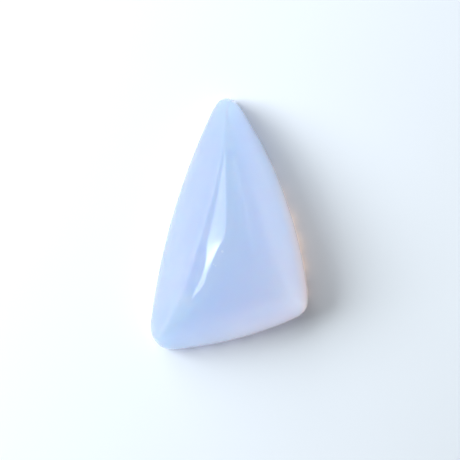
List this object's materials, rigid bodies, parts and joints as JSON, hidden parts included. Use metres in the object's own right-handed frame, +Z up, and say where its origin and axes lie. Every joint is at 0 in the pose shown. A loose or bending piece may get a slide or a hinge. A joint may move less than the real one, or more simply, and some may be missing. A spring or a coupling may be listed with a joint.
{
  "type": "blue chalcedony cabochon",
  "caption": "Loose polished stone with a three-cornered outline, a high soft-ridged dome, a thin girdle wall and a flat back for setting or display.",
  "frame": {"origin": "centre of the outline's bounding box, on the plane of the flat back", "axes": "+Z up through the dome, +Y along the stone's length towards its pointed end, +X across its width"},
  "size_m": [0.0152, 0.0242, 0.008],
  "materials": {
    "chalcedony": "polished, milky and translucent, pale lavender blue"
  },
  "bodies": {
    "root": {"cabochon": "chalcedony"}
  },
  "joints": []
}
